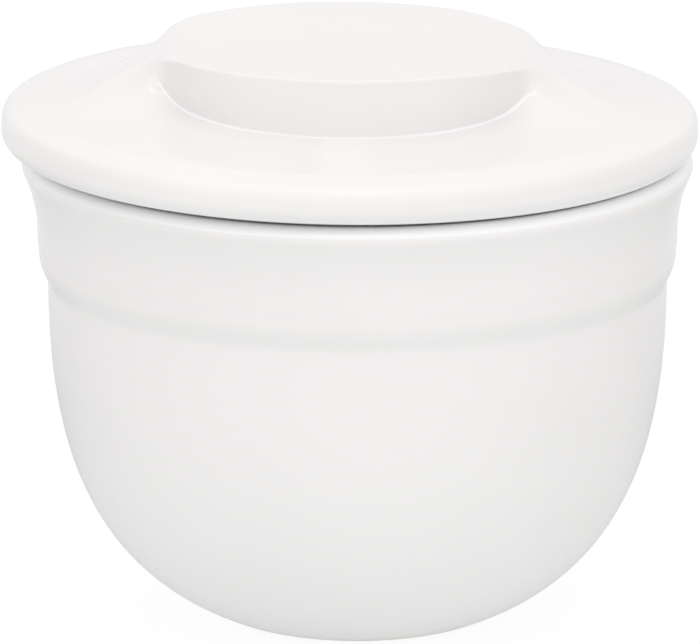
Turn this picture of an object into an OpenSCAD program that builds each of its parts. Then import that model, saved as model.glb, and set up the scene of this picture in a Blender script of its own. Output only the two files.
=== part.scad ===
// Water-sealed butter crock: a round stoneware pot and a lid that carries a
// butter bell on its underside. The bell hangs mouth down in the pot, and the
// water in the pot seals it.
//
// Frame: origin at the centre of the foot, on the surface it stands on.
// +Z up, -Y to the front. The two finger recesses of the handle face front
// and back, and its two ramps run left and right.

/* [Pot body] */
// Radius of the foot that the pot stands on
foot_r = 23; // [21:0.5:25]
// Greatest radius of the bowl, just below the step
body_r = 53.5; // [52.5:0.5:54]
// Height of the bowl, up to the step
body_h = 59; // [56:0.5:61]
// How full the lower bowl is, as a share of the way from foot to side
belly_out = 0.79; // [0.7:0.01:0.86]
// Wall thickness of the bowl
wall = 4.7; // [4:0.1:5.4]
// Thickness of the floor
floor_t = 6; // [5:0.5:8]

/* [Pot collar and lip] */
// Radius of the collar above the step
collar_r = 55.1; // [54.6:0.1:55.6]
// Height of the step between the bowl and the collar
step_h = 5.4; // [4:0.2:7]
// Radius of the mouth, inside the collar
mouth_r = 51.6; // [51.4:0.1:51.8]
// Outer radius of the flared lip
lip_out_r = 57.9; // [57:0.1:58.2]
// Radius of the lip's outer rounding
lip_round = 2.3; // [2:0.1:2.6]
// Height of the lip's crest above the foot
pot_h = 81.7; // [79:0.1:85]

/* [Foot] */
// Inner radius of the bare ring that the pot stands on
ring_in_r = 17.5; // [14:0.5:18.5]
// Depth of the recess inside the ring
ring_recess = 1.2; // [0.6:0.1:2]

/* [Lid] */
// Greatest radius of the lid, at the middle of its rim
lid_r = 60.1; // [59.5:0.1:61]
// Height of the rim's widest line above the seat
rim_wide_z = 3.5; // [3:0.1:4]
// Height of the lid's top at the shoulder of the rim
rim_top_z = 8.1; // [7.6:0.1:8.6]
// Width of the sloping band between the shoulder and the rim's widest line
rim_band = 5.5; // [5:0.1:6]
// Slope of that band, in degrees
rim_slope = 13; // [10:0.5:16]
// Height of the lid's top at the foot of the handle
top_z = 9.4; // [9:0.1:10]
// Radius of the locating boss under the lid, at its lower edge
boss_r = 50.75; // [50:0.05:50.8]
// Depth of the locating boss
boss_h = 3; // [2.4:0.1:3.4]

/* [Handle] */
// Radius at the foot of the handle's wall
handle_r = 33; // [32.4:0.1:33.6]
// Height of the handle's top above the seat
handle_top_z = 18.8; // [17.5:0.1:20]
// Distance from the handle's middle to the brow of a finger recess
brow_y = 30.4; // [29.8:0.1:31]
// Radius of the arc that each brow follows, seen from above
brow_arc_r = 36.9; // [35.5:0.1:40]
// Rounding of the brow's edge
brow_round = 1.2; // [0.6:0.1:1.6]
// Distance from the middle at which the handle's top turns down into a ramp
ramp_start = 29.7; // [28.5:0.1:31]
// Distance from the middle at which a ramp runs out on the lid's top
ramp_end = 46.5; // [44:0.5:48]
// Half width of a ramp at half its height
ramp_half_w = 11; // [9:0.1:11.5]
// Turn of the handle on the lid, seen from above, anticlockwise
handle_turn = -2.5; // [-20:0.5:20]

/* [Butter bell] */
// Outer radius of the bell at its root
bell_root_r = 44.5; // [43.5:0.1:45]
// Outer radius of the bell just above its mouth
bell_mouth_r = 42; // [41:0.1:42.4]
// Length of the bell below the boss
bell_h = 47; // [43:0.5:48]
// Wall thickness of the bell
bell_wall = 4; // [3.4:0.1:4.4]
// Depth of the groove in the boss that takes the bell's root
lute_h = 1.2; // [0.8:0.1:1.4]

/* [How the lid sits] */
// Sideways shift of the lid on the lip, within the boss's play, to +X
lid_shift = -1.4; // [-1.4:0.1:0]
// Tilt of the lid where its boss rides up the lip, with +X low
lid_tilt = 0.55; // [0.5:0.01:0.6]
// Gap left at the line where the lid meets the lip
seat_gap = 0.08; // [0.06:0.01:0.2]

/* [Hidden] */
$fn = 160;
lip_c = lip_out_r - lip_round;            // radius of the lip's crest
lip_in_a = lip_c - mouth_r;               // inner rounding of the lip, across
lip_in_b = 4.2;                           // inner rounding of the lip, down
body_in_r = body_r - wall;
seat_z = pot_h + tan(lid_tilt) * (lip_c + abs(lid_shift)) + seat_gap;
glaze = "#f4f4f1";
bisque = "#f1eee8";

// A point on a cubic curve, and the curve as n steps without its first point.
function cub(a, b, c, d, t) =
    pow(1 - t, 3) * a + 3 * t * pow(1 - t, 2) * b + 3 * t * t * (1 - t) * c + pow(t, 3) * d;
function curve(a, b, c, d, n) = [for (i = [1:n]) cub(a, b, c, d, i / n)];
// Part of an ellipse about o, from angle u to v, without its first point.
function arc(o, rx, ry, u, v, n) =
    [for (i = [1:n]) let (w = u + (v - u) * i / n) [o[0] + rx * cos(w), o[1] + ry * sin(w)]];

// Outside of the pot, from the foot's edge to the lip's crest.
function pot_out() = let (
    f = foot_r, b = body_r, h = body_h, c = collar_r,
    zs = h + step_h, zf = zs + 2.4, zl = pot_h - lip_round) concat(
    [[f - 0.8, 0]],
    arc([f - 0.8, 0.8], 0.8, 0.8, -90, -50, 3),
    curve([f - 0.8 + 0.8 * cos(50), 0.8 - 0.8 * sin(50)], [f + belly_out * (b - f), 0.16 * h],
          [b, 0.53 * h], [b, h], 22),
    curve([b, h], [b, h + 0.2 * step_h], [c, zs - 0.45 * step_h], [c, zs], 7),
    [[c + 0.2, zf]],
    curve([c + 0.2, zf], [c + 0.2, zf + 8.4], [lip_out_r, zl - 1.1], [lip_out_r, zl], 10),
    arc([lip_c, zl], lip_round, lip_round, 0, 90, 8));

// Inside of the pot, from the lip's crest down to the axis.
function pot_in() = let (
    zi = pot_h - lip_in_b, b = body_in_r, z1 = body_h + 1, z2 = z1 + step_h + 2) concat(
    arc([lip_c, zi], lip_in_a, lip_in_b, 90, 180, 8),
    [[mouth_r, z2]],
    curve([mouth_r, z2], [mouth_r, z2 - 3.4], [b, z1 + 2.6], [b, z1], 6),
    curve([b, z1], [b, 0.54 * body_h], [foot_r + belly_out * (b - foot_r) - 1.5, floor_t + 0.1 * body_h],
          [foot_r - 5, floor_t], 18),
    [[0, floor_t]]);

// Bare ring under the foot, from the axis outwards.
function foot_under() = [
    [0, ring_recess], [ring_in_r - 1.4, ring_recess],
    [ring_in_r - 0.5, 0.6 * ring_recess], [ring_in_r, 0]];

module crock_pot() {
    color(glaze)
    rotate_extrude(convexity = 6)
        polygon(concat(foot_under(), pot_out(), pot_in()));
}

// Top of the lid, from the rim's widest line in to the foot of the handle.
function lid_top() = let (
    rr = 2.2, up = 90 - rim_slope, sr = lid_r - rim_band,
    zc = rim_top_z - tan(rim_slope) * (lid_r - rr + rr * cos(up) - sr) - rr * sin(up),
    hr = handle_r) concat(
    [[lid_r, zc]],
    arc([lid_r - rr, zc], rr, rr, 0, up, 7),
    [[sr, rim_top_z], [hr + 1.4, top_z]],
    curve([hr + 1.4, top_z], [hr + 0.5, top_z + 0.03], [hr + 0.05, top_z + 0.45],
          [hr - 0.4, top_z + 1.5], 4));

// Round plate with the drum of the handle, hollow underneath.
module lid_plate() {
    hr = handle_r; ht = handle_top_z;
    rotate_extrude(convexity = 6)
        polygon(concat(
            [[bell_root_r - bell_wall - 0.05, -boss_h], [bell_root_r - bell_wall - 0.05, lute_h - boss_h],
             [bell_root_r + 0.05, lute_h - boss_h], [bell_root_r + 0.05, -boss_h],
             [boss_r - 0.6, -boss_h], [boss_r, 0.6 - boss_h], [boss_r + 0.9, -0.7], [boss_r + 1.7, 0],
             [lid_r - 3.3, 0]],
            curve([lid_r - 3.3, 0], [lid_r - 0.9, 0.45], [lid_r, 1.5], [lid_r, rim_wide_z - 0.3], 8),
            lid_top(),
            [[brow_y - 0.2, ht - 0.8], [0, ht - 0.8]],
            [[0, ht - 6.4], [hr - 13, ht - 6.4]],
            curve([hr - 13, ht - 6.4], [hr - 6.5, ht - 6.4], [hr - 6.2, ht - 9], [hr - 6, ht - 12.5], 6),
            curve([hr - 6, ht - 12.5], [hr - 5.6, 1.4 - boss_h], [hr - 1, -boss_h], [hr + 3.5, -boss_h], 6)));
}

// One side of the handle's top: a flat disc with a rounded edge, set back so
// that only its front arc shows. side is 1 for the front, -1 for the back.
module brow(side) {
    r = brow_arc_r; e = brow_round; ht = handle_top_z;
    translate([0, side * (brow_arc_r - brow_y), 0])
    rotate_extrude(convexity = 2)
        polygon(concat([[0, top_z + 2], [r, top_z + 2], [r, ht - e]],
            arc([r - e, ht - e], e, e, 0, 90, 6), [[0, ht]]));
}

// Cross-section of a ramp, seen along its length: steep sides that flare out
// onto the lid's top.
module ramp_section() {
    u = handle_top_z - top_z; w = ramp_half_w; z0 = top_z - 4;
    half = concat(
        [[0, top_z + u + 1], [0.5 * w, top_z + u + 1]],
        curve([0.5 * w, top_z + u + 1], [0.8 * w, top_z + u], [0.9 * w, top_z + 0.78 * u], [w, top_z + 0.52 * u], 5),
        curve([w, top_z + 0.52 * u], [1.14 * w, top_z + 0.18 * u], [1.35 * w, top_z - 0.3],
              [1.75 * w, top_z - 1.9], 6),
        [[1.75 * w, z0], [0, z0]]);
    polygon(half);
    mirror([1, 0]) polygon(half);
}

// Fall of the handle's top, from its middle out to the foot of a ramp, drop
// below its full height.
function fall(drop) = let (ht = handle_top_z - drop, a = ramp_start, b = ramp_end, zb = top_z - 0.8) concat(
    [[0, ht], [a - 2.6, ht]],
    curve([a - 2.6, ht], [a - 0.9, ht], [a + 0.7, ht - 0.45], [a + 2.3, ht - 1.45], 6),
    curve([a + 2.3, ht - 1.45], [b - 5.5, zb + 3.1], [b - 1.5, zb + 0.4], [b + 2.5, zb - 0.5], 8),
    [[b + 2.5, top_z - 3]]);

// Top of the handle between the two brows, level in the middle and rounded
// down at each end.
module crown() {
    intersection() {
        brow(1);
        brow(-1);
        rotate([90, 0, 0]) linear_extrude(height = 90, center = true) {
            polygon(concat([[0, top_z - 3]], fall(0)));
            mirror([1, 0]) polygon(concat([[0, top_z - 3]], fall(0)));
        }
    }
}

// Both ramps, cut from a round shoulder that runs out on the lid's top.
module ramps() {
    intersection() {
        rotate_extrude(convexity = 2) polygon(concat([[0, top_z - 3]], fall(0.06)));
        rotate([90, 0, 90]) linear_extrude(height = 2 * ramp_end + 16, center = true) ramp_section();
    }
}

module grip() {
    crown();
    ramps();
}

module lid() {
    color(glaze)
    translate([lid_shift, 0, seat_z]) rotate([0, lid_tilt, 0]) {
        lid_plate();
        rotate([0, 0, handle_turn]) grip();
    }
}

// Open sleeve that holds the butter: its root stands in the boss's groove.
module butter_bell() {
    ro = bell_root_r; rm = bell_mouth_r; w = bell_wall; top = lute_h - boss_h; low = -boss_h - bell_h;
    color(bisque)
    translate([lid_shift, 0, seat_z]) rotate([0, lid_tilt, 0])
    rotate_extrude(convexity = 4)
        polygon(concat(
            [[ro - w, top], [ro, top], [ro, -boss_h - 1]],
            curve([ro, -boss_h - 1], [ro, -boss_h - 0.4 * bell_h], [rm, low + 0.4 * bell_h], [rm, low + w / 2], 10),
            arc([rm - w / 2, low + w / 2], w / 2, w / 2, 0, -180, 10),
            curve([rm - w, low + w / 2], [rm - w, low + 0.4 * bell_h], [ro - w, -boss_h - 0.4 * bell_h],
                  [ro - w, -boss_h - 1], 10)));
}

crock_pot();
lid();
butter_bell();
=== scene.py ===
import math

import bpy
import numpy as np
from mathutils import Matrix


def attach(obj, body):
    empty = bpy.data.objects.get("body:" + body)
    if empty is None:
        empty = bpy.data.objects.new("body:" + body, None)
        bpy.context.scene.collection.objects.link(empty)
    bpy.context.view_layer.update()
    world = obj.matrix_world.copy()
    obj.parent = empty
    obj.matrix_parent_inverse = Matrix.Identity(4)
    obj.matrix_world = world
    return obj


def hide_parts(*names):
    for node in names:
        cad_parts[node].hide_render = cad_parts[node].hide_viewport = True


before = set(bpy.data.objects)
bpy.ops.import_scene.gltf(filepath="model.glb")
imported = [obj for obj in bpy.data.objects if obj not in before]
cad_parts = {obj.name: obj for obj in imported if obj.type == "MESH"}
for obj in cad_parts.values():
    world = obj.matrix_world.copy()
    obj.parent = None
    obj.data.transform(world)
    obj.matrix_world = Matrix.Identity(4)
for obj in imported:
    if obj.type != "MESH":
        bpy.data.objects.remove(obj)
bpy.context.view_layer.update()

MM = 0.001


# ---------------------------------------------------------------- curves

def cub(a, b, c, d, n):
    """A cubic curve as n points, without its first."""
    a, b, c, d = (np.array(p, float) for p in (a, b, c, d))
    t = (np.arange(1, n + 1) / n)[:, None]
    return (1 - t) ** 3 * a + 3 * t * (1 - t) ** 2 * b + 3 * t * t * (1 - t) * c + t ** 3 * d


def arc(o, rx, ry, u, v, n):
    w = np.radians(u + (v - u) * np.arange(1, n + 1) / n)
    return np.c_[o[0] + rx * np.cos(w), o[1] + ry * np.sin(w)]


def line(a, b, n):
    t = (np.arange(1, n + 1) / n)[:, None]
    return np.array(a, float) * (1 - t) + np.array(b, float) * t


def rounded(pts, radii, per=14, straight=10):
    """A polyline with its corners rounded, as an array of points."""
    pts = [np.array(p, float) for p in pts]
    out = [pts[0]]
    last = pts[0]
    for i in range(1, len(pts) - 1):
        a, p, b = pts[i - 1], pts[i], pts[i + 1]
        u, v = (a - p) / np.linalg.norm(a - p), (b - p) / np.linalg.norm(b - p)
        half = math.acos(max(-1, min(1, float(u @ v)))) / 2
        r = radii[i - 1]
        t = r / math.tan(half)
        s, e = p + u * t, p + v * t
        m = (u + v) / np.linalg.norm(u + v)
        c = p + m * r / math.sin(half)
        out += list(line(last, s, straight))
        a0 = math.atan2(*(s - c)[::-1])
        a1 = math.atan2(*(e - c)[::-1])
        d = (a1 - a0 + math.pi) % (2 * math.pi) - math.pi
        for k in range(1, per + 1):
            w = a0 + d * k / per
            out.append(c + r * np.array([math.cos(w), math.sin(w)]))
        last = e
    out += list(line(last, pts[-1], straight))
    return np.array(out)


def smooth_step(a, b, x):
    t = np.clip((x - a) / (b - a), 0, 1)
    return t * t * (3 - 2 * t)


def curvature(prof):
    """Signed turn per mm along a closed-side profile: positive where the surface is convex."""
    p = np.asarray(prof)
    d1 = np.gradient(p, axis=0)
    seg = np.maximum(np.linalg.norm(d1, axis=1), 1e-6)
    ang = np.unwrap(np.arctan2(d1[:, 1], d1[:, 0]))
    k = np.gradient(ang) / seg
    return k


# ---------------------------------------------------------------- meshes

def make_object(name, verts, faces, attrs=None):
    me = bpy.data.meshes.new(name)
    me.from_pydata([tuple(v) for v in (verts * MM)], [], faces)
    me.validate(verbose=False)
    me.update()
    me.polygons.foreach_set("use_smooth", [True] * len(me.polygons))
    for key, vals in (attrs or {}).items():
        at = me.attributes.new(key, "FLOAT", "POINT")
        at.data.foreach_set("value", np.asarray(vals, np.float32))
    ob = bpy.data.objects.new(name, me)
    bpy.context.scene.collection.objects.link(ob)
    return ob


def ring_mesh(grid, start_pole, end_pole):
    """A closed skin from a grid of rings, each (n, 3), with a point at each end."""
    m, n = grid.shape[:2]
    verts = [start_pole] + [p for ring in grid for p in ring] + [end_pole]
    faces = []
    for j in range(n):
        k = (j + 1) % n
        faces.append((0, 1 + k, 1 + j))
    for i in range(m - 1):
        a, b = 1 + i * n, 1 + (i + 1) * n
        for j in range(n):
            k = (j + 1) % n
            faces.append((a + j, a + k, b + k, b + j))
    last, a = 1 + m * n, 1 + (m - 1) * n
    for j in range(n):
        k = (j + 1) % n
        faces.append((a + j, a + k, last))
    return np.array(verts), faces


def torus_mesh(grid):
    """A closed skin from a grid whose last ring joins its first."""
    m, n = grid.shape[:2]
    faces = []
    for i in range(m):
        a, b = i * n, ((i + 1) % m) * n
        for j in range(n):
            k = (j + 1) % n
            faces.append((a + j, a + k, b + k, b + j))
    return grid.reshape(-1, 3), faces


def spin(prof, n, wobble=None):
    """Rings of a profile turned about Z. n is a count or the angles; wobble(r, z, phi) gives (dr, dz)."""
    phi = np.arange(n) * 2 * math.pi / n if np.isscalar(n) else n
    r, z = prof[:, 0][:, None], prof[:, 1][:, None]
    P = np.broadcast_to(phi, (len(prof), len(phi)))
    dr, dz = wobble(r, z, P) if wobble else (0, 0)
    R, Z = r + dr, np.broadcast_to(z + dz, P.shape)
    return np.stack([R * np.cos(P), R * np.sin(P), Z], -1)


# ---------------------------------------------------------------- the pot

FOOT, BODY, BODY_H, BELLY = 23.0, 53.5, 59.0, 0.79
WALL, FLOOR = 4.7, 6.0
COLLAR, STEP, MOUTH = 55.1, 5.4, 51.6
LIP, LIP_R, POT_H = 57.9, 2.3, 81.7
RING_IN, RECESS = 17.5, 1.2
LIP_C = LIP - LIP_R


def pot_profile():
    zs, zl = BODY_H + STEP, POT_H - LIP_R
    zf = zs + 2.4
    # under the foot: glazed recess, then the bare ring, with the glaze's edge just above it
    p = [np.array([[3.0, RECESS], [6, RECESS], [9, RECESS], [12, RECESS], [RING_IN - 2.2, RECESS]])]
    p.append(cub([RING_IN - 2.2, RECESS], [RING_IN - 1.2, RECESS], [RING_IN - 0.9, 0.75], [RING_IN - 0.55, 0.35], 8))
    p.append(arc([RING_IN + 0.25, 0.4], 0.8, 0.4, 180, 270, 6))
    p.append(line([RING_IN + 0.25, 0], [FOOT - 1.2, 0], 7))
    p.append(arc([FOOT - 1.2, 0.85], 1.05, 0.85, -90, -36, 7))
    # rolled edge of the glaze
    p.append(np.array([[FOOT - 0.29, 0.42], [FOOT - 0.17, 0.46], [FOOT - 0.05, 0.55], [FOOT + 0.03, 0.68], [FOOT + 0.12, 0.8]]))
    f0 = [FOOT - 0.8 + 0.8 * math.cos(math.radians(50)), 0.8 - 0.8 * math.sin(math.radians(50))]
    body = cub(f0, [FOOT + BELLY * (BODY - FOOT), 0.16 * BODY_H], [BODY, 0.53 * BODY_H], [BODY, BODY_H], 120)
    body = body[body[:, 0] > FOOT + 0.3]
    p.append(body)
    p.append(cub([BODY, BODY_H], [BODY, BODY_H + 0.2 * STEP], [COLLAR, zs - 0.45 * STEP], [COLLAR, zs], 26))
    p.append(line([COLLAR, zs], [COLLAR + 0.2, zf], 5))
    p.append(cub([COLLAR + 0.2, zf], [COLLAR + 0.2, zf + 8.4], [LIP, zl - 1.1], [LIP, zl], 40))
    p.append(arc([LIP_C, zl], LIP_R, LIP_R, 0, 90, 24))
    # inside
    zi, bi, z1 = POT_H - 4.2, BODY - WALL, BODY_H + 1
    z2 = z1 + STEP + 2
    p.append(arc([LIP_C, zi], LIP_C - MOUTH, 4.2, 90, 180, 24))
    p.append(line([MOUTH, zi], [MOUTH, z2], 8))
    p.append(cub([MOUTH, z2], [MOUTH, z2 - 3.4], [bi, z1 + 2.6], [bi, z1], 18))
    p.append(cub([bi, z1], [bi, 0.54 * BODY_H], [FOOT + BELLY * (bi - FOOT) - 1.5, FLOOR + 0.1 * BODY_H],
                 [FOOT - 5, FLOOR], 80))
    p.append(np.array([[14.0, FLOOR], [10, FLOOR], [6, FLOOR], [3, FLOOR]]))
    return np.vstack(p)


def pot_wobble(r, z, a):
    """Slight out-of-round and throwing rings, only ever inwards."""
    up = smooth_step(4, 30, z) * smooth_step(8, 20, r)
    d = 0.45 * (np.cos(2 * a + 0.7) - 1) * 0.06 + 0.3 * (np.cos(3 * a + 2.1 + 0.02 * z) - 1) * 0.05
    rings = 0.012 * (np.sin(z * 1.05 + 0.6 * np.sin(a + 0.5)) - 1) + 0.010 * (np.sin(z * 0.43 + 1.3 + 0.8 * np.sin(2 * a)) - 1)
    return (d + rings) * up, 0.02 * (np.cos(2 * a - 0.4) - 1) * smooth_step(70, 81, z)


def build_pot():
    prof = pot_profile()
    grid = spin(prof, 320, pot_wobble)
    verts, faces = ring_mesh(grid, np.array([0, 0, RECESS]), np.array([0, 0, FLOOR]))
    k = curvature(prof)
    thin = np.clip(-k if k[len(k) // 3] < 0 else k, -1.2, 1.2)
    # painted highlight: the lip's rounding is set to the full hollow tint, so the glaze there shows whiter
    lip_highlight = smooth_step(79.5, 80.2, prof[:, 1]) * smooth_step(LIP_C - 1.5, LIP_C + 0.5, prof[:, 0])
    thin = thin * (1 - lip_highlight) - 1.0 * lip_highlight
    col = np.repeat(thin, grid.shape[1])
    return make_object("pot_body", verts, faces, {"bend": np.r_[0.0, col, 0.0]})


# ---------------------------------------------------------------- the lid

LID, WIDE_Z, RIM_TOP, TOP = 60.09, 3.5, 8.1, 9.35
SHOULDER, RIM_SLOPE = 54.6, math.tan(math.radians(13))
BOSS, BOSS_H = 50.75, 3.0
HANDLE, HANDLE_TOP = 33.1, 18.78
BROW, BROW_ARC = 30.4, 36.9
TURN, OFF_X = -2.5, -0.4
BELL_ROOT, BELL_MOUTH, BELL_H, BELL_WALL, LUTE = 44.5, 42.0, 47.0, 4.0, 1.2
SHIFT, TILT, GAP = -1.4, 0.55, 0.08
SEAT = POT_H + math.tan(math.radians(TILT)) * (LIP_C + abs(SHIFT)) + GAP


def seat(p):
    """From the lid's own frame to the row frame: the tilt about Y, then the shift."""
    c, s = math.cos(math.radians(TILT)), math.sin(math.radians(TILT))
    q = np.empty_like(p)
    q[..., 0] = c * p[..., 0] + s * p[..., 2] + SHIFT
    q[..., 1] = p[..., 1]
    q[..., 2] = -s * p[..., 0] + c * p[..., 2] + SEAT
    return q


def plate_z(r):
    """Height of the lid's top outside the handle."""
    return TOP + (r - HANDLE - 1.4) * (RIM_TOP - TOP) / (SHOULDER - HANDLE - 1.4)


def crest_line(turns, end, bends):
    """Side view of the handle's top and one ramp."""
    return rounded([(0.0, HANDLE_TOP)] + turns + [(end, float(plate_z(end))), (62.0, float(plate_z(62.0)))],
                   bends + [12.0], per=30, straight=20)


# The left end stays level to the ramp; the right end slumps a little first.
CREST_L = crest_line([(30.0, HANDLE_TOP - 0.06)], 48.0, [9.0])
CREST_R = crest_line([(19.5, HANDLE_TOP - 0.03), (30.5, HANDLE_TOP - 1.0)], 48.5, [60.0, 8.0])


def crest_z(x, left):
    """Height of the handle's top over the distance along the ramps."""
    c = CREST_L if left else CREST_R
    return np.interp(np.abs(x), c[:, 0], c[:, 1])


def brow_r(d):
    """Radius of a recess's upper edge at d degrees from the ramps."""
    w, c = math.radians(d), BROW_ARC - BROW
    return -c * math.sin(w) + math.sqrt(BROW_ARC ** 2 - (c * math.cos(w)) ** 2)


# The surface beyond the brow, by degrees from the ramps: radius and height of
# the foot of the wall, radius and height on the flank, radius where it runs out
# on the lid's top, and how soft each bend is. The left end of a recess is
# crisper than the right.
#            d     r_b    z_b    r_f    z_f    r_g   top   foot  out
FLANK_L = [(0.0,  None,  None,  None,  None,  48.0, 1.80, 2.20, 3.0),
           (8.0,  None,  None,  None,  None,  48.0, 1.80, 2.20, 3.0),
           (13.0, 36.90, 14.35, 39.60, 12.50, 47.8, 1.70, 2.00, 2.8),
           (17.0, 36.30, 14.50, 39.10, 12.35, 47.5, 1.30, 1.60, 2.6),
           (19.5, 35.70, 14.90, 38.60, 12.20, 47.2, 0.90, 0.90, 2.4),
           (21.0, 35.20, 15.30, 38.20, 12.05, 47.0, 0.50, 0.40, 2.2),
           (22.5, 34.90, 14.30, 38.00, 11.75, 46.6, 0.34, 0.25, 2.1),
           (24.5, 33.90, 12.50, 37.80, 11.20, 46.2, 0.30, 0.22, 2.0),
           (27.0, 33.00, 11.10, 37.60, 10.55, 45.6, 0.30, 0.22, 1.9),
           (30.0, 32.55, 10.35, 37.40, 10.05, 45.0, 0.30, 0.22, 1.8),
           (34.0, 32.30, 9.95,  37.20, 9.70,  44.4, 0.30, 0.22, 1.7),
           (45.0, 32.40, 9.62,  37.00, 9.36,  43.6, 0.30, 0.22, 1.6),
           (60.0, 32.80, 9.45,  37.00, 9.23,  43.2, 0.30, 0.22, 1.5),
           (91.0, 33.10, 9.38,  37.00, 9.19,  43.0, 0.30, 0.22, 1.5)]
FLANK_R = [(0.0,  None,  None,  None,  None,  48.5, 1.80, 2.20, 3.0),
           (8.0,  None,  None,  None,  None,  48.5, 1.80, 2.20, 3.0),
           (13.0, 37.00, 14.15, 39.80, 12.40, 48.2, 1.70, 2.00, 2.8),
           (17.0, 36.50, 14.30, 39.30, 12.30, 48.0, 1.40, 1.80, 2.7),
           (19.5, 35.90, 14.60, 38.80, 12.20, 47.7, 1.10, 1.30, 2.6),
           (22.0, 35.10, 14.60, 38.40, 11.95, 47.3, 0.65, 0.90, 2.4),
           (24.5, 34.30, 13.05, 38.10, 11.50, 46.8, 0.45, 0.75, 2.3),
           (27.5, 33.40, 11.50, 37.80, 10.75, 46.0, 0.34, 0.55, 2.1),
           (31.0, 32.70, 10.45, 37.50, 10.10, 45.2, 0.30, 0.36, 1.9),
           (35.0, 32.35, 9.98,  37.20, 9.70,  44.4, 0.30, 0.26, 1.7),
           (45.0, 32.40, 9.62,  37.00, 9.36,  43.6, 0.30, 0.22, 1.6),
           (60.0, 32.80, 9.45,  37.00, 9.23,  43.2, 0.30, 0.22, 1.5),
           (91.0, 33.10, 9.38,  37.00, 9.19,  43.0, 0.30, 0.22, 1.5)]


def flank(table, left):
    """The table with the ramps' missing feet placed on the straight slope down."""
    rows = []
    for d, rb, zb, rf, zf, rg, st, sb, so in table:
        if rb is None:
            rt = top_r(d)
            zt = float(crest_z(rt * math.cos(math.radians(d)), left))
            zg = float(plate_z(rg))
            rb, zb = rt + 0.30 * (rg - rt), zt + 0.30 * (zg - zt)
            rf, zf = rt + 0.48 * (rg - rt), zt + 0.48 * (zg - zt)
        rows.append((d, rb, zb, rf, zf, rg, st, sb, so))
    return np.array(rows)


def top_r(d):
    """Radius at which the handle's top ends at d degrees from the ramps."""
    t = min(d / 21.0, 1.0)
    return brow_r(max(d, 21.0)) - (1 - t * t * (3 - 2 * t)) * (brow_r(21.0) - 31.5)


def ease(d, x, y):
    """Smooth values between the table's rows."""
    i = int(np.clip(np.searchsorted(x, d, side="right") - 1, 0, len(x) - 2))
    h = x[i + 1] - x[i]
    t = (d - x[i]) / h

    def slope(j):
        if j <= 0 or j >= len(x) - 1:
            return 0.0
        a, b = (y[j] - y[j - 1]) / (x[j] - x[j - 1]), (y[j + 1] - y[j]) / (x[j + 1] - x[j])
        return 0.0 if a * b <= 0 else 2 * a * b / (a + b)
    m0, m1 = slope(i) * h, slope(i + 1) * h
    return ((2 * t ** 3 - 3 * t * t + 1) * y[i] + (t ** 3 - 2 * t * t + t) * m0
            + (-2 * t ** 3 + 3 * t * t) * y[i + 1] + (t ** 3 - t * t) * m1)


KERNEL_T = np.linspace(-2.6, 2.6, 27)
KERNEL_W = np.exp(-0.5 * KERNEL_T ** 2) / np.exp(-0.5 * KERNEL_T ** 2).sum()
RUN = np.arange(1, 45) / 44
STEPS = [1 - (1 - RUN) ** 1.5]
for cnt, kind in ((34, "both"), (20, "start"), (18, "start"), (14, "end"), (12, "start")):
    u = np.arange(1, cnt + 1) / cnt
    STEPS.append(0.55 * (1 - np.cos(math.pi * u)) / 2 + 0.45 * u if kind == "both"
                 else u ** 1.5 if kind == "start" else 1 - (1 - u) ** 1.35)


def top_line(d, left, tables):
    """Radii and heights from near the middle out over the shoulder, d degrees from the ramps."""
    tb = tables[0] if left else tables[1]
    rt = top_r(d)
    c = math.cos(math.radians(d))
    r0 = np.arange(0.0, rt, 0.2)
    zt = float(crest_z(rt * c, left))
    rb, zb, rf, zf, rg, s_t, s_b, s_f = (float(ease(d, tb[:, 0], tb[:, k])) for k in range(1, 9))
    end = (57.0, RIM_TOP - RIM_SLOPE * (57.0 - SHOULDER))
    R = np.concatenate([r0, [rt, rb, rf, rg, SHOULDER, end[0]]])
    Z = np.concatenate([crest_z(r0 * c, left), [zt, zb, zf, plate_z(rg), RIM_TOP, end[1]]])
    S = np.r_[0, np.cumsum(np.hypot(np.diff(R), np.diff(Z)))]
    node = S[-6:]
    marks = np.r_[0.0, node]
    sk = np.concatenate([marks[i] + (marks[i + 1] - marks[i]) * STEPS[i] for i in range(6)])
    soft = np.full(len(sk), 0.02)
    for pos, sg in ((node[0], s_t), (node[1], s_b), (node[2], 0.7 * s_f), (node[3], s_f), (node[4], 0.45)):
        q = np.clip((np.abs(sk - pos) / sg - 0.6) / 3.6, 0, 1)
        soft = np.maximum(soft, sg * (1 - q * q * (3 - 2 * q)))
    soft = np.minimum(soft, (node[5] - sk) / 2.7 + 1e-6)
    at = sk[:, None] + soft[:, None] * KERNEL_T[None, :]
    return (np.interp(at, S, R) * KERNEL_W).sum(1), (np.interp(at, S, Z) * KERNEL_W).sum(1)


def lid_angles():
    """Directions round the lid, closer together at the ends of the recesses."""
    t = math.radians(TURN)
    out = []
    a = 0.0
    while a < 360.0 - 1e-6:
        out.append(a)
        d = a % 180.0
        d = min(d, 180.0 - d)
        a += 0.25 if 17.0 <= d < 34.0 else 0.5 if 10 <= d < 40 else 1.0
    return np.radians(np.array(out)) + t


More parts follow.
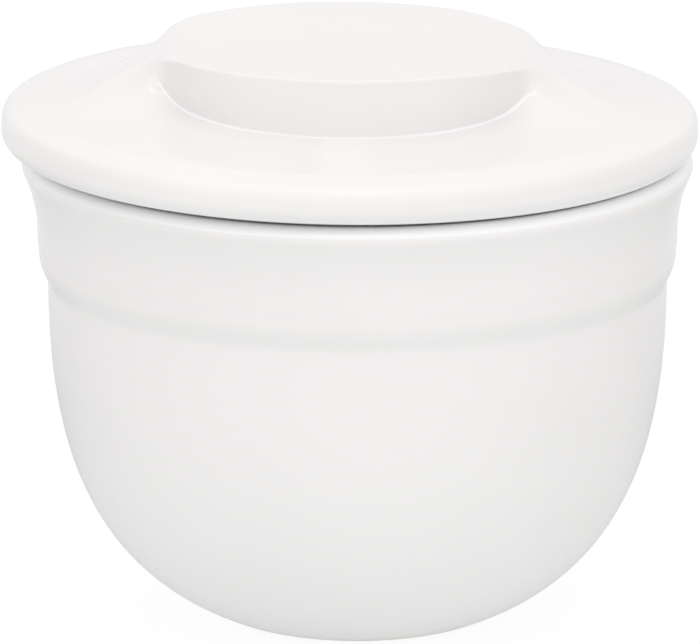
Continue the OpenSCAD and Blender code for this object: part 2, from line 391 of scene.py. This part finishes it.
def build_lid():
    phi = lid_angles()
    n = len(phi)
    tables = (flank(FLANK_L, True), flank(FLANK_R, False))
    cache, cols = {}, []
    for a in phi:
        x = math.degrees(a) - TURN
        f = x % 180.0
        d = min(f, 180.0 - f)
        left = 90 < x % 360 < 270
        key = (round(d, 4), left)
        if key not in cache:
            cache[key] = top_line(d, left, tables)
        cols.append(cache[key])
    R = np.array([c[0] for c in cols]).T
    Z = np.array([c[1] for c in cols]).T
    P = np.broadcast_to(phi, R.shape)
    off = OFF_X * (1 - smooth_step(42, 53, R))
    # the handle's top is not quite square to the lid
    Z = Z + 0.004 * R * np.cos(P) * smooth_step(12, 18, Z)
    top = np.stack([R * np.cos(P) + off, R * np.sin(P), Z], -1)
    # the rim and the underside, as one turned profile
    e0 = (57.0, RIM_TOP - RIM_SLOPE * (57.0 - SHOULDER))
    e1 = (58.2, e0[1] - RIM_SLOPE * 1.2)
    prof = [line(e0, e1, 5)]
    prof.append(cub(e1, [e1[0] + 1.65, e1[1] - 1.65 * RIM_SLOPE], [LID, 5.7], [LID, WIDE_Z + 0.2], 34))
    prof.append(line([LID, WIDE_Z + 0.2], [LID, WIDE_Z - 0.3], 2))
    prof.append(cub([LID, WIDE_Z - 0.3], [LID, 1.9], [LID - 0.9, 0.40], [LID - 3.3, 0], 26))
    under = rounded([(LID - 3.3, 0), (BOSS + 0.9, 0.0), (BOSS, -BOSS_H), (BELL_ROOT + 0.05, -BOSS_H)],
                    [0.7, 0.55], per=7, straight=5)[1:]
    prof.append(under)
    prof.append(line([BELL_ROOT + 0.05, -BOSS_H], [BELL_ROOT + 0.05, LUTE - BOSS_H], 3))
    prof.append(line([BELL_ROOT + 0.05, LUTE - BOSS_H], [BELL_ROOT - BELL_WALL - 0.05, LUTE - BOSS_H], 4))
    prof.append(line([BELL_ROOT - BELL_WALL - 0.05, LUTE - BOSS_H], [BELL_ROOT - BELL_WALL - 0.05, -BOSS_H], 3))
    hr, ht = HANDLE, HANDLE_TOP
    prof.append(line([BELL_ROOT - BELL_WALL - 0.05, -BOSS_H], [hr + 3.5, -BOSS_H], 6))
    prof.append(cub([hr + 3.5, -BOSS_H], [hr - 1, -BOSS_H], [hr - 5.6, 1.4 - BOSS_H], [hr - 6, ht - 12.5], 20))
    prof.append(cub([hr - 6, ht - 12.5], [hr - 6.2, ht - 9], [hr - 6.5, ht - 6.4], [hr - 13, ht - 6.4], 20))
    prof.append(np.array([[14.0, ht - 6.4], [9, ht - 6.4], [4, ht - 6.4]]))
    prof = np.vstack(prof)
    low = spin(prof, phi)
    grid = np.concatenate([top, low], 0)
    # the whole lid waves very slightly, inwards and downwards only
    r = np.hypot(grid[..., 0], grid[..., 1])
    a = np.arctan2(grid[..., 1], grid[..., 0])
    out = smooth_step(40, 58, r)
    grid[..., 2] += out * 0.035 * (np.cos(2 * a + 1.1) - 1) * smooth_step(1, 3, grid[..., 2])
    k = (1 - 0.0007 * out * (1 - np.cos(3 * a + 0.4)) * 0.5)
    grid[..., 0] *= k
    grid[..., 1] *= k
    # signed bend along each radial line, as an attribute for the glaze
    d1 = np.gradient(grid, axis=0)
    rad = np.hypot(grid[..., 0], grid[..., 1])
    dr, dz = np.gradient(rad, axis=0), d1[..., 2]
    seg = np.maximum(np.hypot(dr, dz), 1e-4)
    ang = np.unwrap(np.arctan2(dz, dr), axis=0)
    bend = -np.gradient(ang, axis=0) / np.maximum(seg, 0.02)
    bend = np.clip(bend, -1.2, 1.2)
    for _ in range(3):
        bend = (np.roll(bend, 1, 1) + np.roll(bend, -1, 1) + 2 * bend) / 4
    top_pole = np.array([OFF_X, 0, HANDLE_TOP])
    low_pole = np.array([0, 0, ht - 6.4])
    verts, faces = ring_mesh(seat(grid), seat(top_pole), seat(low_pole))
    faces = [tuple(reversed(f)) for f in faces]
    # painted shade: the middle of each recess's wall is marked for a greyer glaze tint
    x = np.degrees(phi) - TURN
    d = np.minimum(x % 180, 180 - x % 180)
    wall_shade_mask = np.zeros(bend.shape)
    i0, i1 = len(STEPS[0]), len(STEPS[0]) + len(STEPS[1])
    wall_shade_mask[i0:i1] = smooth_step(40, 82, d)[None, :]
    return make_object("lid_plate", verts, faces, {"bend": np.r_[0.0, bend.ravel(), 0.0],
                                                   "run": np.r_[0.0, wall_shade_mask.ravel(), 0.0]})


def build_bell():
    ro, rm, w = BELL_ROOT, BELL_MOUTH, BELL_WALL
    top, low = LUTE - BOSS_H, -BOSS_H - BELL_H
    p = [np.array([[ro - w, top], [ro - w + 1, top], [ro - 2, top], [ro - 1, top], [ro, top]])]
    p.append(line([ro, top], [ro, -BOSS_H + 0.0], 4))
    # slip fillet where the bell was luted on
    p.append(np.array([[ro + 0.9, -BOSS_H - 0.02]]))
    p.append(cub([ro + 0.9, -BOSS_H - 0.02], [ro + 0.3, -BOSS_H - 0.1], [ro + 0.02, -BOSS_H - 0.5], [ro, -BOSS_H - 1.4], 8))
    p.append(cub([ro, -BOSS_H - 1.4], [ro, -BOSS_H - 0.4 * BELL_H], [rm, low + 0.4 * BELL_H], [rm, low + w / 2], 50))
    p.append(arc([rm - w / 2, low + w / 2], w / 2, w / 2, 0, -180, 28))
    p.append(cub([rm - w, low + w / 2], [rm - w, low + 0.4 * BELL_H], [ro - w, -BOSS_H - 0.4 * BELL_H],
                 [ro - w, -BOSS_H - 1.2], 50))
    p.append(cub([ro - w, -BOSS_H - 1.2], [ro - w - 0.02, -BOSS_H - 0.5], [ro - w - 0.25, -BOSS_H - 0.1], [ro - w - 0.8, -BOSS_H - 0.02], 7))
    p.append(np.array([[ro - w, -BOSS_H]]))
    prof = np.vstack(p)
    k = np.clip(-curvature(prof), -1.2, 1.2)
    grid = seat(spin(prof, 256))
    verts, faces = torus_mesh(grid)
    return make_object("bell_sleeve", verts, faces, {"bend": np.repeat(k, 256)})


# ---------------------------------------------------------------- materials

def new_material(name):
    m = bpy.data.materials.new(name)
    m.use_nodes = True
    nt = m.node_tree
    nt.nodes.clear()
    return m, nt


def N(nt, kind, **kw):
    n = nt.nodes.new(kind)
    for k, v in kw.items():
        if k in n.inputs:
            n.inputs[k].default_value = v
        else:
            setattr(n, k, v)
    return n


def glaze(name, body=(0.84, 0.84, 0.835), foot=False, mouth_z=None, seed=0.0):
    """Glossy white stoneware glaze: thin and warm over edges, a painted highlight (cool, whiter tint) in hollows,
    painted shade on recess walls, with a faint wave and pores.
    """
    m, nt = new_material(name)
    L = nt.links
    tc = N(nt, "ShaderNodeTexCoord")
    mp = N(nt, "ShaderNodeMapping")
    mp.inputs["Location"].default_value = (seed, seed * 0.7, -seed)
    L.new(tc.outputs["Object"], mp.inputs["Vector"])
    big = N(nt, "ShaderNodeTexNoise", Scale=22.0, Detail=3.0, Roughness=0.55)
    L.new(mp.outputs["Vector"], big.inputs["Vector"])
    ramp = N(nt, "ShaderNodeValToRGB")
    ramp.color_ramp.elements[0].position = 0.32
    ramp.color_ramp.elements[0].color = tuple(c * 0.985 for c in body) + (1,)
    ramp.color_ramp.elements[1].position = 0.68
    ramp.color_ramp.elements[1].color = tuple(min(c * 1.012, 0.95) for c in body) + (1,)
    L.new(big.outputs["Fac"], ramp.inputs["Fac"])
    # thin glaze on convex edges
    at = N(nt, "ShaderNodeAttribute", attribute_name="bend")
    thin = N(nt, "ShaderNodeMapRange")
    thin.inputs["From Min"].default_value = 0.30
    thin.inputs["From Max"].default_value = 1.1
    thin.inputs["To Max"].default_value = 0.30
    L.new(at.outputs["Fac"], thin.inputs["Value"])
    mix1 = N(nt, "ShaderNodeMix", data_type="RGBA")
    L.new(thin.outputs["Result"], mix1.inputs[0])
    L.new(ramp.outputs["Color"], mix1.inputs[6])
    mix1.inputs[7].default_value = tuple(c * k for c, k in zip(body, (0.985, 0.970, 0.950))) + (1,)
    # painted highlight: concave hollows and the pot's lip are tinted whiter, standing in for the sheen of the light
    # overhead
    hollow_highlight = N(nt, "ShaderNodeMapRange")
    hollow_highlight.inputs["From Min"].default_value = -0.62
    hollow_highlight.inputs["From Max"].default_value = -1.15
    L.new(at.outputs["Fac"], hollow_highlight.inputs["Value"])
    mix2 = N(nt, "ShaderNodeMix", data_type="RGBA")
    L.new(hollow_highlight.outputs["Result"], mix2.inputs[0])
    L.new(mix1.outputs[2], mix2.inputs[6])
    mix2.inputs[7].default_value = (0.94, 0.945, 0.945, 1)
    # painted shade: the middle of each recess's wall is tinted a shade greyer, 7% at most
    ra = N(nt, "ShaderNodeAttribute", attribute_name="run")
    rs = N(nt, "ShaderNodeMath", operation="MULTIPLY")
    rs.inputs[1].default_value = 0.70
    L.new(ra.outputs["Fac"], rs.inputs[0])
    mix_wall_shade = N(nt, "ShaderNodeMix", data_type="RGBA")
    L.new(rs.outputs[0], mix_wall_shade.inputs[0])
    L.new(mix2.outputs[2], mix_wall_shade.inputs[6])
    mix_wall_shade.inputs[7].default_value = tuple(c * 0.90 for c in body) + (1,)
    # sparse pin-prick specks from the clay
    vor = N(nt, "ShaderNodeTexVoronoi", Scale=420.0, Randomness=1.0)
    L.new(mp.outputs["Vector"], vor.inputs["Vector"])
    dot = N(nt, "ShaderNodeMapRange")
    dot.inputs["From Min"].default_value = 0.10
    dot.inputs["From Max"].default_value = 0.04
    L.new(vor.outputs["Distance"], dot.inputs["Value"])
    sparse = N(nt, "ShaderNodeTexNoise", Scale=160.0, Detail=1.0)
    L.new(mp.outputs["Vector"], sparse.inputs["Vector"])
    gate = N(nt, "ShaderNodeMapRange")
    gate.inputs["From Min"].default_value = 0.66
    gate.inputs["From Max"].default_value = 0.72
    gate.inputs["To Max"].default_value = 0.10
    L.new(sparse.outputs["Fac"], gate.inputs["Value"])
    spk = N(nt, "ShaderNodeMath", operation="MULTIPLY")
    L.new(dot.outputs["Result"], spk.inputs[0])
    L.new(gate.outputs["Result"], spk.inputs[1])
    mix3 = N(nt, "ShaderNodeMix", data_type="RGBA")
    L.new(spk.outputs[0], mix3.inputs[0])
    L.new(mix_wall_shade.outputs[2], mix3.inputs[6])
    mix3.inputs[7].default_value = (0.45, 0.40, 0.34, 1)
    # roughness and relief
    rn = N(nt, "ShaderNodeTexNoise", Scale=70.0, Detail=4.0)
    L.new(mp.outputs["Vector"], rn.inputs["Vector"])
    rough = N(nt, "ShaderNodeMapRange")
    rough.inputs["To Min"].default_value = 0.055
    rough.inputs["To Max"].default_value = 0.11
    L.new(rn.outputs["Fac"], rough.inputs["Value"])
    wave = N(nt, "ShaderNodeTexNoise", Scale=48.0, Detail=2.0, Roughness=0.4)
    L.new(mp.outputs["Vector"], wave.inputs["Vector"])
    peel = N(nt, "ShaderNodeTexNoise", Scale=520.0, Detail=2.0, Roughness=0.5)
    L.new(mp.outputs["Vector"], peel.inputs["Vector"])
    b1 = N(nt, "ShaderNodeBump", Strength=0.35, Distance=0.00022)
    L.new(wave.outputs["Fac"], b1.inputs["Height"])
    b2 = N(nt, "ShaderNodeBump", Strength=0.10, Distance=0.00004)
    L.new(peel.outputs["Fac"], b2.inputs["Height"])
    L.new(b1.outputs["Normal"], b2.inputs["Normal"])
    bs = N(nt, "ShaderNodeBsdfPrincipled")
    L.new(mix3.outputs[2], bs.inputs["Base Color"])
    L.new(rough.outputs["Result"], bs.inputs["Roughness"])
    L.new(b2.outputs["Normal"], bs.inputs["Normal"])
    bs.inputs["IOR"].default_value = 1.5
    out = N(nt, "ShaderNodeOutputMaterial")
    if not foot:
        L.new(bs.outputs[0], out.inputs[0])
        return m
    # bare, wiped ring under the foot
    geo = N(nt, "ShaderNodeSeparateXYZ")
    L.new(tc.outputs["Object"], geo.inputs[0])
    hgt = N(nt, "ShaderNodeTexNoise", Scale=240.0, Detail=3.0)
    L.new(mp.outputs["Vector"], hgt.inputs["Vector"])
    edge = N(nt, "ShaderNodeMath", operation="MULTIPLY_ADD")
    edge.inputs[1].default_value = 0.00022
    edge.inputs[2].default_value = 0.00032
    L.new(hgt.outputs["Fac"], edge.inputs[0])
    bare = N(nt, "ShaderNodeMath", operation="LESS_THAN")
    L.new(geo.outputs["Z"], bare.inputs[0])
    L.new(edge.outputs[0], bare.inputs[1])
    grain = N(nt, "ShaderNodeTexNoise", Scale=1400.0, Detail=5.0, Roughness=0.7)
    L.new(mp.outputs["Vector"], grain.inputs["Vector"])
    gr = N(nt, "ShaderNodeValToRGB")
    gr.color_ramp.elements[0].color = (0.56, 0.49, 0.40, 1)
    gr.color_ramp.elements[1].color = (0.78, 0.73, 0.65, 1)
    L.new(grain.outputs["Fac"], gr.inputs["Fac"])
    gb = N(nt, "ShaderNodeBump", Strength=0.7, Distance=0.00010)
    L.new(grain.outputs["Fac"], gb.inputs["Height"])
    clay = N(nt, "ShaderNodeBsdfPrincipled", Roughness=0.85)
    L.new(gr.outputs["Color"], clay.inputs["Base Color"])
    L.new(gb.outputs["Normal"], clay.inputs["Normal"])
    mx = N(nt, "ShaderNodeMixShader")
    L.new(bare.outputs[0], mx.inputs[0])
    L.new(bs.outputs[0], mx.inputs[1])
    L.new(clay.outputs[0], mx.inputs[2])
    L.new(mx.outputs[0], out.inputs[0])
    return m


# ---------------------------------------------------------------- assemble

pot = build_pot()
pot.data.materials.append(glaze("pot_glaze_white", foot=True, seed=0.31))
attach(pot, "crock")
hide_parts("crock_pot")

lid = build_lid()
lid.data.materials.append(glaze("lid_glaze_white", seed=1.7))
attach(lid, "lid_body")
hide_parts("lid")

bell = build_bell()
bell.data.materials.append(glaze("bell_glaze_white", seed=2.9))
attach(bell, "lid_body")
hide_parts("butter_bell")

# ---------------------------------------------------------------- stage

FLOOR_SEEN, FLOOR_SHADE = 0.90, 0.11   # what the camera sees: glow, and the share that takes shade
FLOOR_GLOW, FLOOR_LIT = 0.65, 0.27     # what lights the crock: glow, and the share that takes shade
FLOOR_MIRRORED = 0.31                  # glow that the glaze reflects
FLOOR_BEHIND = 0.57                    # the same, on the sweep behind the crock and far in front of it
FLOOR_NEAR = 0.15                      # what the floor close round the foot adds to it
SKY_LOW, SKY_TOP, SKY_FRONT, SKY_BACK = 0.69, 0.94, 0.46, 0.20
sc = bpy.context.scene
sc.view_settings.view_transform = "Standard"
sc.view_settings.look = "None"

# the floor glows a little, so that it stays pale under the crock and throws light up
m, nt = new_material("studio_floor")
lp = N(nt, "ShaderNodeLightPath")
glos = N(nt, "ShaderNodeMix", data_type="FLOAT")
nt.links.new(lp.outputs["Is Glossy Ray"], glos.inputs[0])
glos.inputs[2].default_value = FLOOR_GLOW
at = N(nt, "ShaderNodeNewGeometry")
xyz = N(nt, "ShaderNodeSeparateXYZ")
nt.links.new(at.outputs["Position"], xyz.inputs[0])
back = N(nt, "ShaderNodeMapRange", interpolation_type="SMOOTHSTEP")
back.inputs["From Min"].default_value = 0.06
back.inputs["From Max"].default_value = 0.30
back.inputs["To Min"].default_value = FLOOR_MIRRORED
back.inputs["To Max"].default_value = FLOOR_BEHIND
nt.links.new(xyz.outputs["Y"], back.inputs["Value"])
front = N(nt, "ShaderNodeMapRange", interpolation_type="SMOOTHSTEP")
front.inputs["From Min"].default_value = -0.40
front.inputs["From Max"].default_value = -0.70
front.inputs["To Min"].default_value = 0.0
front.inputs["To Max"].default_value = FLOOR_BEHIND - FLOOR_MIRRORED
nt.links.new(xyz.outputs["Y"], front.inputs["Value"])
far = N(nt, "ShaderNodeMath", operation="ADD")
nt.links.new(back.outputs[0], far.inputs[0])
nt.links.new(front.outputs[0], far.inputs[1])
flat = N(nt, "ShaderNodeVectorMath", operation="MULTIPLY")
nt.links.new(at.outputs["Position"], flat.inputs[0])
flat.inputs[1].default_value = (1, 1, 0)
away = N(nt, "ShaderNodeVectorMath", operation="LENGTH")
nt.links.new(flat.outputs[0], away.inputs[0])
near = N(nt, "ShaderNodeMapRange", interpolation_type="SMOOTHSTEP")
near.inputs["From Min"].default_value = 0.055
near.inputs["From Max"].default_value = 0.150
near.inputs["To Min"].default_value = FLOOR_NEAR
near.inputs["To Max"].default_value = 0.0
nt.links.new(away.outputs["Value"], near.inputs["Value"])
both = N(nt, "ShaderNodeMath", operation="ADD")
nt.links.new(far.outputs[0], both.inputs[0])
nt.links.new(near.outputs[0], both.inputs[1])
nt.links.new(both.outputs[0], glos.inputs[3])
seen = N(nt, "ShaderNodeMix", data_type="FLOAT")
nt.links.new(lp.outputs["Is Camera Ray"], seen.inputs[0])
nt.links.new(glos.outputs[0], seen.inputs[2])
seen.inputs[3].default_value = FLOOR_SEEN
em = N(nt, "ShaderNodeEmission")
em.inputs[0].default_value = (1, 1, 1, 1)
nt.links.new(seen.outputs[0], em.inputs[1])
shade = N(nt, "ShaderNodeMix", data_type="FLOAT")
nt.links.new(lp.outputs["Is Camera Ray"], shade.inputs[0])
shade.inputs[2].default_value = FLOOR_LIT
shade.inputs[3].default_value = FLOOR_SHADE
df = N(nt, "ShaderNodeBsdfDiffuse")
nt.links.new(shade.outputs[0], df.inputs[0])
ad = N(nt, "ShaderNodeAddShader")
nt.links.new(em.outputs[0], ad.inputs[0])
nt.links.new(df.outputs[0], ad.inputs[1])
o = N(nt, "ShaderNodeOutputMaterial")
nt.links.new(ad.outputs[0], o.inputs[0])
me = bpy.data.meshes.new("floor")
S = 6.0
me.from_pydata([(-S, -S, -0.0002), (S, -S, -0.0002), (S, S, -0.0002), (-S, S, -0.0002)], [], [(0, 1, 2, 3)])
floor = bpy.data.objects.new("floor", me)
sc.collection.objects.link(floor)
me.materials.append(m)

# sky: brightest overhead and faintly warm there, with a broad soft fill from the front
w = bpy.data.worlds.new("studio")
sc.world = w
w.use_nodes = True
nt = w.node_tree
nt.nodes.clear()
tc = N(nt, "ShaderNodeTexCoord")
sx = N(nt, "ShaderNodeSeparateXYZ")
nt.links.new(tc.outputs["Generated"], sx.inputs[0])
up = N(nt, "ShaderNodeMapRange", interpolation_type="SMOOTHSTEP")
up.inputs["From Min"].default_value = 0.05
up.inputs["From Max"].default_value = 0.95
up.inputs["To Min"].default_value = SKY_LOW
up.inputs["To Max"].default_value = SKY_TOP
nt.links.new(sx.outputs["Z"], up.inputs["Value"])
dt = N(nt, "ShaderNodeVectorMath", operation="DOT_PRODUCT")
dt.inputs[1].default_value = (0.0, -math.cos(math.radians(36)), math.sin(math.radians(36)))
nt.links.new(tc.outputs["Generated"], dt.inputs[0])
fr = N(nt, "ShaderNodeMapRange", interpolation_type="SMOOTHSTEP")
fr.inputs["From Min"].default_value = 0.15
fr.inputs["From Max"].default_value = 1.0
fr.inputs["To Max"].default_value = SKY_FRONT
nt.links.new(dt.outputs["Value"], fr.inputs["Value"])
bk = N(nt, "ShaderNodeMapRange", interpolation_type="SMOOTHSTEP")
bk.inputs["From Min"].default_value = 0.35
bk.inputs["From Max"].default_value = 1.0
bk.inputs["To Max"].default_value = SKY_BACK
nt.links.new(sx.outputs["Y"], bk.inputs["Value"])
s1 = N(nt, "ShaderNodeMath", operation="ADD")
nt.links.new(up.outputs["Result"], s1.inputs[0])
nt.links.new(fr.outputs["Result"], s1.inputs[1])
sm = N(nt, "ShaderNodeMath", operation="ADD")
nt.links.new(s1.outputs[0], sm.inputs[0])
nt.links.new(bk.outputs["Result"], sm.inputs[1])
warm = N(nt, "ShaderNodeMapRange")
warm.inputs["From Min"].default_value = 0.1
warm.inputs["From Max"].default_value = 0.9
nt.links.new(sx.outputs["Z"], warm.inputs["Value"])
cr = N(nt, "ShaderNodeValToRGB")
cr.color_ramp.elements[0].color = (1.0, 1.0, 1.003, 1)
cr.color_ramp.elements[1].color = (1.0, 0.962, 0.955, 1)
nt.links.new(warm.outputs["Result"], cr.inputs["Fac"])
bg = N(nt, "ShaderNodeBackground")
nt.links.new(cr.outputs["Color"], bg.inputs[0])
nt.links.new(sm.outputs[0], bg.inputs[1])
wo = N(nt, "ShaderNodeOutputWorld")
nt.links.new(bg.outputs[0], wo.inputs[0])


def softbox(name, loc, target, size, power, colour=(1, 1, 1)):
    d = bpy.data.lights.new(name, "AREA")
    d.shape = "RECTANGLE"
    d.size, d.size_y = size
    d.energy = power
    d.color = colour
    ob = bpy.data.objects.new(name, d)
    ob.location = loc
    v = np.array(target, float) - np.array(loc, float)
    import mathutils
    ob.rotation_euler = mathutils.Vector(v).to_track_quat("-Z", "Y").to_euler()
    sc.collection.objects.link(ob)
    return ob


softbox("key_overhead", (0.0, -0.84, 1.20), (0, 0, 0.08), (0.62, 0.16), 0.75, (1.0, 0.985, 0.98))

# camera: long lens, 14 degrees above the table
EL, DIST = math.radians(14.04), 3.0
aim = np.array([-0.0013, 0.0, 0.0512])
cam_d = bpy.data.cameras.new("camera")
cam_d.sensor_width = 36.0
cam_d.lens = 17349.0 / 700.0 * 36.0
cam_d.clip_end = 30.0
cam = bpy.data.objects.new("camera", cam_d)
cam.location = tuple(aim + DIST * np.array([0, -math.cos(EL), math.sin(EL)]))
cam.rotation_euler = (math.pi / 2 - EL, 0, 0)
sc.collection.objects.link(cam)
sc.camera = cam
